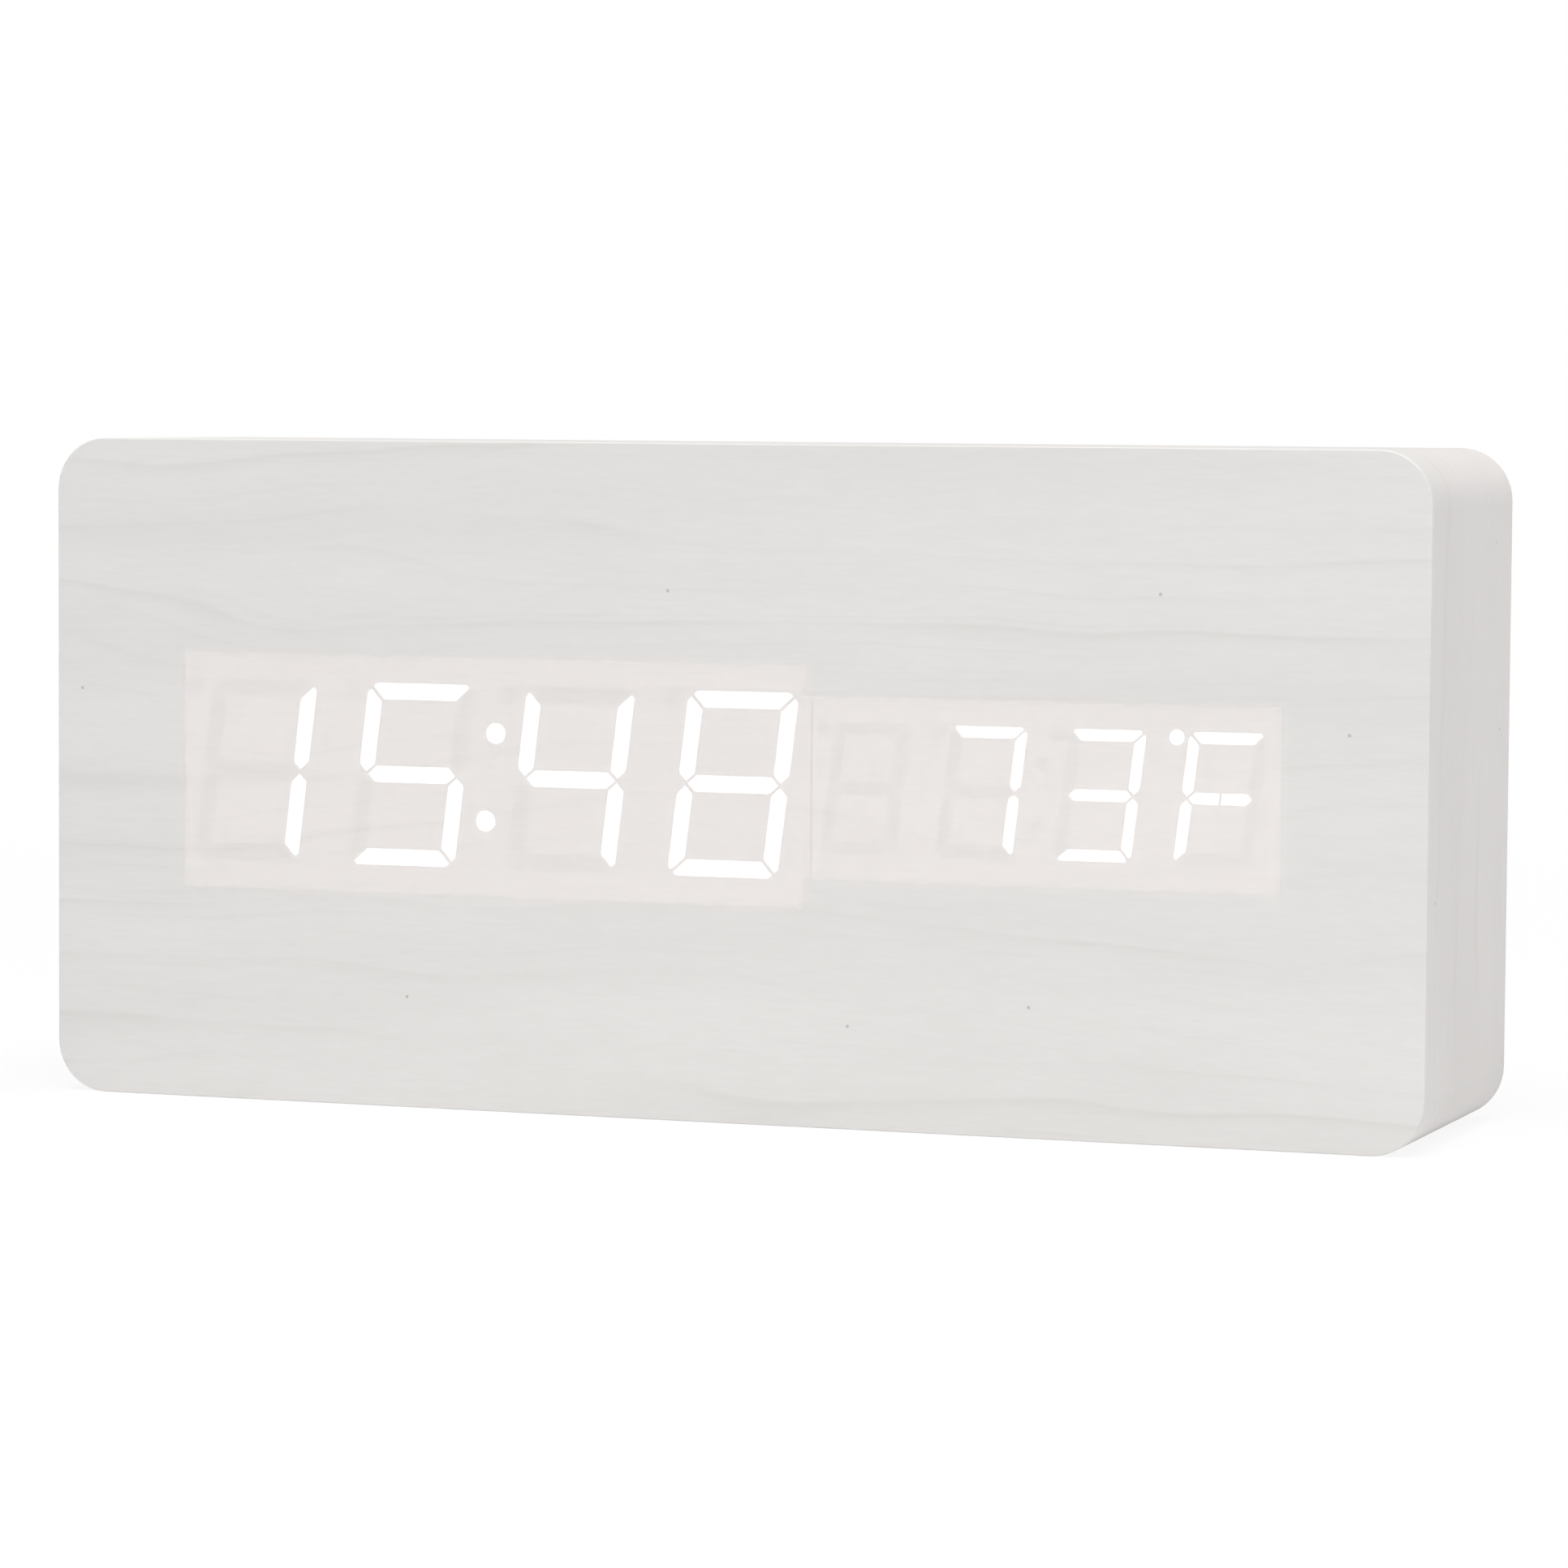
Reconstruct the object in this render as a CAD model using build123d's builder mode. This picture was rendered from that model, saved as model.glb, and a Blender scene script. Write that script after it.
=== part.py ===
from build123d import *
import os

os.makedirs("parts", exist_ok=True)

# Digital LED desk clock: a routed MDF block in white wood-grain veneer, whose digits shine
# through the front sheet. Millimetres, +Z up, front towards -Y, origin under the middle.

# Case
width = 150.0
height = 70.0
depth = 36.0
corner_radius = 5.5
edge_ease = 0.15
veneer = 0.4
glue_line = 0.05
strip_seam = 0.2
strip_seam_x = 30.0
side_wall = 8.5
top_wall = 7.5
cutter_radius = 2.0

# Corner blocks left in the cavity, which take the panel screws
block_width = 10.0
block_height = 9.0

# Seven-segment displays: the time on the left, the temperature on the right
display_depth = 8.0
display_setback = 0.1
display_gap = 0.1
window_clearance = 0.2
segment_depth = 6.0
segment_clearance = 0.02
slant = 0.12
digits = 4

time_bar = 1.7
time_bar_gap = 0.36
time_digit_width = 10.35
time_digit_height = 17.45
time_digit_gap = 5.9
time_side_margin = 2.48
time_margin = 3.42
time_colon_radius = 1.08
time_colon_spacing = 9.2
time_dot_radius = 0.95
time_dot_gap = 0.92

temp_bar = 1.15
temp_bar_gap = 0.28
temp_digit_width = 6.91
temp_digit_height = 12.16
temp_digit_gap = 4.42
# The temperature digits stand a little left of the middle of their block
temp_digit_shift = -0.6
temp_side_margin = 2.33
temp_margin = 3.25
temp_colon_radius = 0.7
temp_colon_spacing = 6.0
temp_dot_radius = 0.78
temp_dot_gap = 0.46

# Share of the bar width by which a bar's outer tip stands past the corner of the centre lines
tip_share = 0.41

# Boards
board_thickness = 1.6
board_clearance = 1.0
board_screw_inset = 2.3
pin_radius = 0.3
pin_clearance = 0.15
pin_pitch = 2.54
pins_per_row = 6
pin_row_inset = 2.5
pin_tail = 1.2
chip_width = 18.0
chip_height = 7.5
chip_thickness = 2.4
chip_row = 12.0
crystal_width = 11.0
crystal_height = 4.6
crystal_thickness = 3.5
crystal_row = -12.0
socket_width = 4.0
socket_height = 13.0
socket_thickness = 2.5
ribbon_width = 10.0
ribbon_thickness = 0.3
ribbon_bend_share = 0.65
ribbon_reach = 22.0

# Rear panel and battery bay
panel_recess = 2.0
panel_thickness = 2.0
panel_rim = 5.5
panel_radius = 4.0
panel_clearance = 0.2
panel_edge = 0.4
cell_diameter = 10.3
cell_length = 44.5
cell_nub_radius = 1.9
cell_nub_length = 1.2
cell_gap = 0.6
cell_headroom = 0.3
cells = 3
bay_wall = 1.5
bay_margin = 1.5
contact_plate = 0.4
contact_width = 7.0
contact_height = 8.0
contact_bump = 0.5
contact_bump_radius = 1.6
leaf_rise = 1.8
leaf_width = 4.0
contact_clearance = 0.1
tab_width = 3.0
tab_length = 1.6
tab_clearance = 0.15
lead_radius = 0.6
lead_bend = 2.0
lead_inset = 4.0

# Battery door
door_thickness = 1.6
door_edge = 0.25
door_clearance = 0.25
door_ledge = 1.0
door_seat_gap = 0.1
door_radius = 1.5
hinge_pin_radius = 0.45
hinge_pin_length = 1.2
hinge_pin_clearance = 0.06
hinge_end_play = 0.15
grip_ribs = 4
grip_rib_width = 0.8
grip_rib_length = 10.0
grip_rib_height = 0.4
grip_rib_pitch = 2.0
grip_inset = 5.0
notch_radius = 5.0
notch_depth = 1.2

# Key board, which carries the buttons' switches and hangs from bosses on the panel. Its parts
# stand in three columns, spaced by a share of its width.
key_column_share = 0.3
key_gap = 5.0
key_margin = 2.0
key_board_height = 40.0
key_screw_inset = 3.0
boss_radius = 2.75
button_row = 10.0
button_radius = 3.0
button_clearance = 0.2
button_proud = 1.4
button_edge = 0.5
button_flange_radius = 4.0
button_flange = 0.8
button_play = 0.3
button_mark = 2.2
button_mark_depth = 0.25
switch_size = 6.0
switch_thickness = 3.5
plunger_radius = 1.6
plunger_clearance = 0.15
plunger_proud = 1.6
plunger_seat = 1.3
plunger_well = 2.4
buzzer_radius = 4.5
buzzer_thickness = 5.5
buzzer_hole_radius = 0.9
sound_slots = 3
sound_slot_length = 7.0
sound_slot_width = 1.0
sound_slot_pitch = 2.2
microphone_radius = 2.25
microphone_thickness = 5.0
microphone_hole_radius = 0.8
sensor_bead_radius = 1.1
sensor_lead_radius = 0.3
sensor_lead_spacing = 1.2
sensor_row = 0.0
sensor_rise = 4.4
sensor_slot_length = 6.0
sensor_slot_width = 1.4
part_row = -9.0
jack_body = 8.0
jack_gap = 0.2
jack_nose_radius = 3.0
jack_nose_clearance = 0.2
jack_bore_radius = 1.9
jack_bore_depth = 7.0
jack_pin_radius = 0.65
jack_pin_recess = 0.8

# Screws
panel_screw_radius = 1.2
panel_screw_length = 8.0
panel_screw_head_radius = 2.3
panel_screw_head = 1.4
panel_screw_sink = 0.8
board_screw_radius = 0.8
board_screw_length = 6.0
board_screw_head_radius = 1.8
board_screw_head = 1.2
key_screw_radius = 0.9
key_screw_length = 6.0
screw_clearance = 0.3
pilot_clearance = 0.05
recess_share = 0.6
recess_width = 0.5

# Levels from front to rear
front_y = -depth / 2
rear_y = depth / 2
middle_z = height / 2
skin = veneer + glue_line
case_front_y = front_y + skin
case_rear_y = rear_y - skin
display_y = front_y + veneer + display_setback
board_y = display_y + display_depth
board_rear_y = board_y + board_thickness
panel_y = rear_y - panel_recess
panel_inner_y = panel_y - panel_thickness
door_inner_y = panel_y - door_thickness
cell_y = door_inner_y - cell_headroom - cell_diameter / 2
bay_floor_y = cell_y - cell_diameter / 2 - cell_headroom
flange_top_y = panel_inner_y - button_play
plunger_top_y = flange_top_y - button_flange
switch_top_y = plunger_top_y - plunger_proud
key_y = switch_top_y - switch_thickness
key_inner_y = key_y - board_thickness

# Cavity and what fits in it
case_width = width - 2 * skin
case_height = height - 2 * skin
cavity_width = case_width - 2 * side_wall
cavity_height = case_height - 2 * top_wall
cavity_inner_width = cavity_width - 2 * block_width
cavity_inner_height = cavity_height - 2 * block_height
board_width = cavity_width - 2 * board_clearance
board_height = cavity_inner_height - 2 * board_clearance
panel_width = case_width - 2 * panel_rim
panel_height = case_height - 2 * panel_rim
time_pitch = time_digit_width + time_bar + time_digit_gap
time_digits_width = (digits - 1) * time_pitch + time_digit_width + time_bar
time_display_width = time_digits_width + 2 * time_side_margin
time_display_height = time_digit_height + time_bar + 2 * time_margin
temp_pitch = temp_digit_width + temp_bar + temp_digit_gap
temp_digits_width = (digits - 1) * temp_pitch + temp_digit_width + temp_bar
temp_display_width = temp_digits_width + 2 * temp_side_margin
temp_display_height = temp_digit_height + temp_bar + 2 * temp_margin
displays_width = time_display_width + display_gap + temp_display_width
time_x = (time_display_width - displays_width) / 2
temp_x = (displays_width - temp_display_width) / 2

# Battery bay and key board, side by side across the cavity
cell_pitch = cell_diameter + cell_gap
spring_reach = contact_plate + leaf_rise + contact_clearance
bump_reach = contact_plate + contact_bump + contact_clearance
bay_length = spring_reach + cell_length + bump_reach
bay_height = cells * cell_pitch
bay_outer_length = bay_length + 2 * bay_wall
bay_outer_height = bay_height + 2 * bay_wall
bay_left = bay_margin + bay_wall - cavity_inner_width / 2
bay_right = bay_left + bay_length
bay_x = (bay_left + bay_right) / 2
bay_under_y = bay_floor_y - bay_wall
lead_y = bay_under_y - lead_radius - glue_line
cell_zs = [middle_z + (i - (cells - 1) / 2) * cell_pitch for i in range(cells)]
opening_length = bay_length + 2 * door_ledge
opening_height = bay_height + 2 * door_ledge
door_length = opening_length - 2 * door_clearance
door_height = opening_height - 2 * door_clearance
door_right = bay_x + door_length / 2
hinge_x = bay_x - door_length / 2 + door_thickness / 2
hinge_y = panel_y - door_thickness / 2
key_left = bay_right + bay_wall + key_gap
key_right = cavity_inner_width / 2 - key_margin
key_board_width = key_right - key_left
key_x = (key_left + key_right) / 2
key_column = key_column_share * key_board_width

# Places of solder tabs, screws and keys, as (x, z)
tab_places = [
    (bay_left + contact_plate / 2, cell_zs[0]),
    (bay_right - contact_plate / 2, cell_zs[-1]),
]
panel_screw_places = [
    (x * (cavity_width - block_width) / 2, middle_z + z * (cavity_height - block_height) / 2)
    for x in (-1, 1)
    for z in (-1, 1)
]
board_screw_places = [
    (x * (board_width / 2 - board_screw_inset), middle_z + z * (board_height / 2 - board_screw_inset))
    for x in (-1, 1)
    for z in (-1, 1)
]
key_screw_places = [
    (
        key_x + x * (key_board_width / 2 - key_screw_inset),
        middle_z + z * (key_board_height / 2 - key_screw_inset),
    )
    for x in (-1, 1)
    for z in (-1, 1)
]
button_z = middle_z + button_row
button_places = {
    "mode": (key_x + key_column, button_z),
    "up": (key_x, button_z),
    "down": (key_x - key_column, button_z),
}
part_z = middle_z + part_row
buzzer_place = (key_x - key_column, part_z)
microphone_place = (key_x, part_z)
sensor_place = (key_x, middle_z + sensor_row)
jack_place = (key_x + key_column, part_z)
pin_rows = {
    time_x: time_display_height - 2 * pin_row_inset,
    temp_x: temp_display_height - 2 * pin_row_inset,
}


def upright(y):
    """The upright plane at depth y as seen from the front: drawn in X and Z, extruded towards -Y."""
    return Plane.XZ.offset(-y)


def hand_out(piece, name):
    """Labels a finished piece and writes its STEP file."""
    piece.label = name
    export_step(piece, f"parts/{name}.step")


def bar_outlines(digit_width, digit_height, bar, gap, split_middle=False):
    """Outlines of a digit's bars about its centre, upright: clockwise from the top, then the middle."""
    half_width = digit_width / 2
    half_height = digit_height / 2
    half_bar = bar / 2
    mitre = gap / 2**0.5
    tip = tip_share * bar
    top = [
        (half_width - half_bar - mitre, half_height - half_bar),
        (half_width + (tip - mitre) / 2, half_height + (tip + mitre) / 2),
        (half_width + tip - half_bar, half_height + half_bar),
    ]
    top += [(-x, z) for x, z in reversed(top)]
    upper_right = [
        (half_width, mitre),
        (half_width + half_bar, mitre + half_bar),
        (half_width + half_bar, half_height + tip - half_bar),
        (half_width + (tip + mitre) / 2, half_height + (tip - mitre) / 2),
        (half_width - half_bar, half_height - half_bar - mitre),
        (half_width - half_bar, mitre + half_bar),
    ]
    middle_end = half_width - mitre
    middle = [(middle_end - half_bar, -half_bar), (middle_end, 0), (middle_end - half_bar, half_bar)]
    if split_middle:
        right_half = middle + [(gap / 2, half_bar), (gap / 2, -half_bar)]
        middles = [right_half, [(-x, z) for x, z in right_half]]
    else:
        middles = [middle + [(-x, z) for x, z in reversed(middle)]]
    return [
        top,
        upper_right,
        [(x, -z) for x, z in upper_right],
        [(x, -z) for x, z in top],
        [(-x, -z) for x, z in upper_right],
        [(-x, z) for x, z in upper_right],
        *middles,
    ]


def leaning(points, x):
    """Points drawn about a digit's centre, slanted and set at x on the display's middle line."""
    return [(x + px + slant * pz, middle_z + pz) for px, pz in points]


def digit_places(centre_x, pitch):
    return [centre_x + (i - (digits - 1) / 2) * pitch for i in range(digits)]


def dot_places(digit_xs, digit_width, digit_height, bar, gap, radius):
    """One small dot at the upper left of each digit, a gap away from its bars."""
    offset = (digit_width + bar) / 2 + gap + radius
    return [leaning([(-offset, digit_height / 2)], x)[0] for x in digit_xs]


def colon_places(centre_x, spacing):
    return leaning([(0, spacing / 2), (0, -spacing / 2)], centre_x)


def display_housing(centre_x, face_width, face_height, outlines, dots):
    """A white reflector block with a well for each bar and dot. dots are (places, radius) pairs."""
    with BuildPart() as housing:
        with BuildSketch(upright(board_y)):
            with Locations((centre_x, middle_z)):
                Rectangle(face_width, face_height)
        extrude(amount=display_depth)
        with BuildSketch(upright(display_y + segment_depth)):
            for outline in outlines:
                Polygon(*outline, align=None)
            for places, radius in dots:
                with Locations(*places):
                    Circle(radius)
        extrude(amount=segment_depth, mode=Mode.SUBTRACT)
    return housing.part


def light_bars(outlines):
    """Diffuser bars that fill the wells of one digit."""
    with BuildPart() as bars:
        with BuildSketch(upright(display_y + segment_depth - segment_clearance)):
            for outline in outlines:
                Polygon(*outline, align=None)
        extrude(amount=segment_depth - segment_clearance)
    return bars.part


def light_dots(places, radius):
    with BuildPart() as dots:
        with BuildSketch(upright(display_y + segment_depth - segment_clearance)):
            with Locations(*places):
                Circle(radius - segment_clearance)
        extrude(amount=segment_depth - segment_clearance)
    return dots.part


def pan_screws(places, seat_y, turn, radius, length, head_radius, head):
    """Pan-head screws with cross recesses. turn is 1 if the shanks point to the front, -1 to the rear."""
    with BuildPart() as screws:
        with BuildSketch(upright(seat_y)):
            with Locations(*places):
                Circle(radius)
        extrude(amount=turn * length)
        with BuildSketch(upright(seat_y)):
            with Locations(*places):
                Circle(head_radius)
        extrude(amount=-turn * head, taper=12)
        with BuildSketch(upright(seat_y + turn * head)):
            with Locations(*places):
                Rectangle(2 * recess_share * head_radius, recess_width)
                Rectangle(recess_width, 2 * recess_share * head_radius)
        extrude(amount=turn * recess_share * head, mode=Mode.SUBTRACT)
    return screws.part


# Case body: MDF, routed out from behind, with display windows through its front wall
with BuildPart() as case_body:
    with BuildSketch(upright(case_rear_y)):
        with Locations((0, middle_z)):
            RectangleRounded(case_width, case_height, corner_radius - skin)
    extrude(amount=case_rear_y - case_front_y)
    with BuildSketch(upright(case_rear_y)) as cavity:
        with Locations((0, middle_z)):
            Rectangle(cavity_width, cavity_inner_height)
            Rectangle(cavity_inner_width, cavity_height)
        fillet(cavity.vertices(), cutter_radius)
    extrude(amount=case_rear_y - board_y, mode=Mode.SUBTRACT)
    with BuildSketch(upright(case_rear_y)):
        with Locations((0, middle_z)):
            RectangleRounded(
                panel_width + 2 * panel_clearance,
                panel_height + 2 * panel_clearance,
                panel_radius + panel_clearance,
            )
    extrude(amount=case_rear_y - panel_inner_y, mode=Mode.SUBTRACT)
    with BuildSketch(upright(board_y)):
        with Locations((time_x, middle_z)):
            Rectangle(
                time_display_width + 2 * window_clearance,
                time_display_height + 2 * window_clearance,
            )
        with Locations((temp_x, middle_z)):
            Rectangle(
                temp_display_width + 2 * window_clearance,
                temp_display_height + 2 * window_clearance,
            )
    extrude(amount=board_y - case_front_y, mode=Mode.SUBTRACT)
    with BuildSketch(upright(panel_inner_y)):
        with Locations(*panel_screw_places):
            Circle(panel_screw_radius + pilot_clearance)
    extrude(amount=panel_screw_length, mode=Mode.SUBTRACT)
    with BuildSketch(upright(board_y)):
        with Locations(*board_screw_places):
            Circle(board_screw_radius + pilot_clearance)
    extrude(amount=board_screw_length, mode=Mode.SUBTRACT)
hand_out(case_body.part, "case_body")

# Veneer: a front sheet, a strip round the four sides with its butt seam underneath, a rear frame
with BuildPart() as front_veneer:
    with BuildSketch(upright(front_y + veneer)):
        with Locations((0, middle_z)):
            RectangleRounded(width, height, corner_radius)
    extrude(amount=veneer)
    fillet(front_veneer.faces().sort_by(Axis.Y)[0].edges(), edge_ease)
hand_out(front_veneer.part, "front_veneer")

with BuildPart() as edge_veneer:
    with BuildSketch(upright(rear_y)):
        with Locations((0, middle_z)):
            RectangleRounded(width, height, corner_radius)
    extrude(amount=depth - veneer)
    fillet(edge_veneer.faces().sort_by(Axis.Y)[-1].edges(), edge_ease)
    with BuildSketch(upright(rear_y)):
        with Locations((0, middle_z)):
            RectangleRounded(width - 2 * veneer, height - 2 * veneer, corner_radius - veneer)
        with Locations((strip_seam_x, 0)):
            Rectangle(strip_seam, 2 * skin)
    extrude(amount=depth - veneer, mode=Mode.SUBTRACT)
hand_out(edge_veneer.part, "edge_veneer")

with BuildPart() as rear_veneer:
    with BuildSketch(upright(rear_y)):
        with Locations((0, middle_z)):
            RectangleRounded(case_width, case_height, corner_radius - skin)
            RectangleRounded(
                panel_width + 2 * panel_clearance,
                panel_height + 2 * panel_clearance,
                panel_radius + panel_clearance,
                mode=Mode.SUBTRACT,
            )
    extrude(amount=veneer)
hand_out(rear_veneer.part, "rear_veneer")

# Time display: four digits, a colon and a small dot by each digit
time_xs = digit_places(time_x, time_pitch)
time_dots = dot_places(
    time_xs, time_digit_width, time_digit_height, time_bar, time_dot_gap, time_dot_radius
)
time_colon = colon_places(time_x, time_colon_spacing)
time_wells = bar_outlines(time_digit_width, time_digit_height, time_bar, time_bar_gap)
time_bars = bar_outlines(
    time_digit_width,
    time_digit_height,
    time_bar - 2 * segment_clearance,
    time_bar_gap + 2 * segment_clearance,
)
hand_out(
    display_housing(
        time_x,
        time_display_width,
        time_display_height,
        [leaning(well, x) for x in time_xs for well in time_wells],
        [(time_dots, time_dot_radius), (time_colon, time_colon_radius)],
    ),
    "time_display_housing",
)
for number, x in enumerate(time_xs, 1):
    hand_out(light_bars([leaning(bar, x) for bar in time_bars]), f"time_digit_{number}")
hand_out(light_dots(time_colon, time_colon_radius), "time_colon")
hand_out(light_dots(time_dots, time_dot_radius), "time_dots")

# Temperature display: the last digit's middle bar is in two halves
temp_digits_x = temp_x + temp_digit_shift
temp_xs = digit_places(temp_digits_x, temp_pitch)
temp_dots = dot_places(
    temp_xs, temp_digit_width, temp_digit_height, temp_bar, temp_dot_gap, temp_dot_radius
)
temp_colon = colon_places(temp_digits_x, temp_colon_spacing)
temp_digit_wells = {}
for number, x in enumerate(temp_xs, 1):
    last = number == digits
    wells = bar_outlines(temp_digit_width, temp_digit_height, temp_bar, temp_bar_gap, last)
    bars = bar_outlines(
        temp_digit_width,
        temp_digit_height,
        temp_bar - 2 * segment_clearance,
        temp_bar_gap + 2 * segment_clearance,
        last,
    )
    temp_digit_wells[number] = [leaning(well, x) for well in wells]
    hand_out(light_bars([leaning(bar, x) for bar in bars]), f"temp_digit_{number}")
hand_out(
    display_housing(
        temp_x,
        temp_display_width,
        temp_display_height,
        [well for number in temp_digit_wells for well in temp_digit_wells[number]],
        [(temp_dots, temp_dot_radius), (temp_colon, temp_colon_radius)],
    ),
    "temp_display_housing",
)
hand_out(light_dots(temp_colon, temp_colon_radius), "temp_colon")
hand_out(light_dots(temp_dots, temp_dot_radius), "temp_dots")

# Display board: screwed to the inside of the front wall, with the displays' pins through it
with BuildPart() as display_board:
    with BuildSketch(upright(board_rear_y)):
        with Locations((0, middle_z)):
            RectangleRounded(board_width, board_height, board_clearance)
        with Locations(*board_screw_places):
            Circle(board_screw_radius + screw_clearance, mode=Mode.SUBTRACT)
        for x, row_pitch in pin_rows.items():
            with Locations((x, middle_z)):
                with GridLocations(pin_pitch, row_pitch, pins_per_row, 2):
                    Circle(pin_radius + pin_clearance, mode=Mode.SUBTRACT)
    extrude(amount=board_thickness)
hand_out(display_board.part, "display_board")

with BuildPart() as display_pins:
    with BuildSketch(upright(board_rear_y + pin_tail)):
        for x, row_pitch in pin_rows.items():
            with Locations((x, middle_z)):
                with GridLocations(pin_pitch, row_pitch, pins_per_row, 2):
                    Circle(pin_radius)
    extrude(amount=pin_tail + board_thickness)
hand_out(display_pins.part, "display_pins")

hand_out(
    pan_screws(
        board_screw_places,
        board_rear_y,
        1,
        board_screw_radius,
        board_screw_length,
        board_screw_head_radius,
        board_screw_head,
    ),
    "display_board_screws",
)

# Parts on the rear of the display board
with BuildPart() as control_chip:
    with BuildSketch(upright(board_rear_y)):
        with Locations((key_x, middle_z + chip_row)):
            Rectangle(chip_width, chip_height)
    extrude(amount=-chip_thickness, taper=5)
hand_out(control_chip.part, "control_chip")

with BuildPart() as clock_crystal:
    with BuildSketch(upright(board_rear_y)):
        with Locations((key_x, middle_z + crystal_row)):
            SlotOverall(crystal_width, crystal_height)
    extrude(amount=-crystal_thickness)
hand_out(clock_crystal.part, "clock_crystal")

# Flat ribbon between the two boards, in a slack double bend, with a socket at each end
ribbon_start = (key_x - ribbon_reach / 2, board_rear_y + socket_thickness)
ribbon_end = (key_x + ribbon_reach / 2, key_inner_y - socket_thickness)
ribbon_level = (ribbon_start[1] + ribbon_end[1]) / 2
ribbon_bend = ribbon_bend_share * (ribbon_level - ribbon_start[1])
with BuildPart() as display_ribbon_socket:
    with BuildSketch(upright(board_rear_y)):
        with Locations((ribbon_start[0], middle_z)):
            Rectangle(socket_width, socket_height)
    extrude(amount=-socket_thickness)
hand_out(display_ribbon_socket.part, "display_ribbon_socket")

with BuildPart() as key_ribbon_socket:
    with BuildSketch(upright(key_inner_y)):
        with Locations((ribbon_end[0], middle_z)):
            Rectangle(socket_width, socket_height)
    extrude(amount=socket_thickness)
hand_out(key_ribbon_socket.part, "key_ribbon_socket")

with BuildPart() as ribbon_cable:
    with BuildSketch(Plane.XY.offset(middle_z - ribbon_width / 2)):
        with BuildLine() as ribbon_path:
            FilletPolyline(
                ribbon_start,
                (ribbon_start[0], ribbon_level),
                (ribbon_end[0], ribbon_level),
                ribbon_end,
                radius=ribbon_bend,
            )
        trace(line_width=ribbon_thickness)
    extrude(amount=ribbon_width)
hand_out(ribbon_cable.part, "ribbon_cable")

# Rear panel: ABS, set into the case, with the battery bay moulded on its inside
with BuildPart() as back_panel:
    with BuildSketch(upright(panel_y)):
        with Locations((0, middle_z)):
            RectangleRounded(panel_width, panel_height, panel_radius)
    extrude(amount=panel_thickness)
    chamfer(back_panel.faces().sort_by(Axis.Y)[-1].edges(), panel_edge)
    with BuildSketch(upright(panel_inner_y)):
        with Locations((bay_x, middle_z)):
            Rectangle(bay_outer_length, bay_outer_height)
    extrude(amount=panel_inner_y - bay_floor_y + bay_wall)
    with BuildSketch(upright(panel_inner_y)):
        with Locations(*key_screw_places):
            Circle(boss_radius)
    extrude(amount=panel_inner_y - key_y)
    with BuildSketch(upright(panel_y)):
        with Locations((bay_x, middle_z)):
            Rectangle(bay_length, bay_height)
    extrude(amount=panel_y - bay_floor_y, mode=Mode.SUBTRACT)
    with BuildSketch(upright(panel_y)) as door_opening:
        with Locations((bay_x, middle_z)):
            Rectangle(opening_length, opening_height)
        fillet(door_opening.vertices().group_by(Axis.X)[-1], door_radius + door_clearance)
    extrude(amount=door_thickness + door_seat_gap, mode=Mode.SUBTRACT)
    # Slots in the bay's floor for the terminals' solder tabs
    with BuildSketch(upright(bay_floor_y)):
        with Locations(*tab_places):
            Rectangle(contact_plate + 2 * tab_clearance, tab_width + 2 * tab_clearance)
    extrude(amount=bay_wall, mode=Mode.SUBTRACT)
    # Sockets for the door's hinge pins, above and below the opening
    with BuildSketch(Plane.XY.offset(middle_z)):
        with Locations((hinge_x, hinge_y)):
            Circle(hinge_pin_radius + hinge_pin_clearance)
    extrude(
        amount=door_height / 2 + hinge_pin_length + hinge_end_play,
        both=True,
        mode=Mode.SUBTRACT,
    )
    # Fingernail notch at the door's free end
    with BuildSketch(upright(panel_y)):
        with Locations((bay_x + opening_length / 2, middle_z)):
            Circle(notch_radius)
    extrude(amount=notch_depth, mode=Mode.SUBTRACT)
    with BuildSketch(upright(panel_y)):
        with Locations(*button_places.values()):
            Circle(button_radius + button_clearance)
        with Locations(jack_place):
            Circle(jack_nose_radius + jack_nose_clearance)
        with Locations(microphone_place):
            Circle(microphone_hole_radius)
        with Locations(sensor_place):
            SlotOverall(sensor_slot_length, sensor_slot_width)
        with Locations(buzzer_place):
            with GridLocations(0, sound_slot_pitch, 1, sound_slots):
                SlotOverall(sound_slot_length, sound_slot_width)
        with Locations(*panel_screw_places):
            Circle(panel_screw_radius + screw_clearance)
    extrude(amount=panel_thickness, mode=Mode.SUBTRACT)
    with BuildSketch(upright(panel_y)):
        with Locations(*panel_screw_places):
            Circle(panel_screw_head_radius + screw_clearance)
    extrude(amount=panel_screw_sink, mode=Mode.SUBTRACT)
    with BuildSketch(upright(key_y)):
        with Locations(*key_screw_places):
            Circle(key_screw_radius + pilot_clearance)
    extrude(amount=board_thickness - key_screw_length, mode=Mode.SUBTRACT)
hand_out(back_panel.part, "back_panel")

hand_out(
    pan_screws(
        panel_screw_places,
        panel_y - panel_screw_sink,
        1,
        panel_screw_radius,
        panel_screw_length,
        panel_screw_head_radius,
        panel_screw_head,
    ),
    "panel_screws",
)

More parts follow.
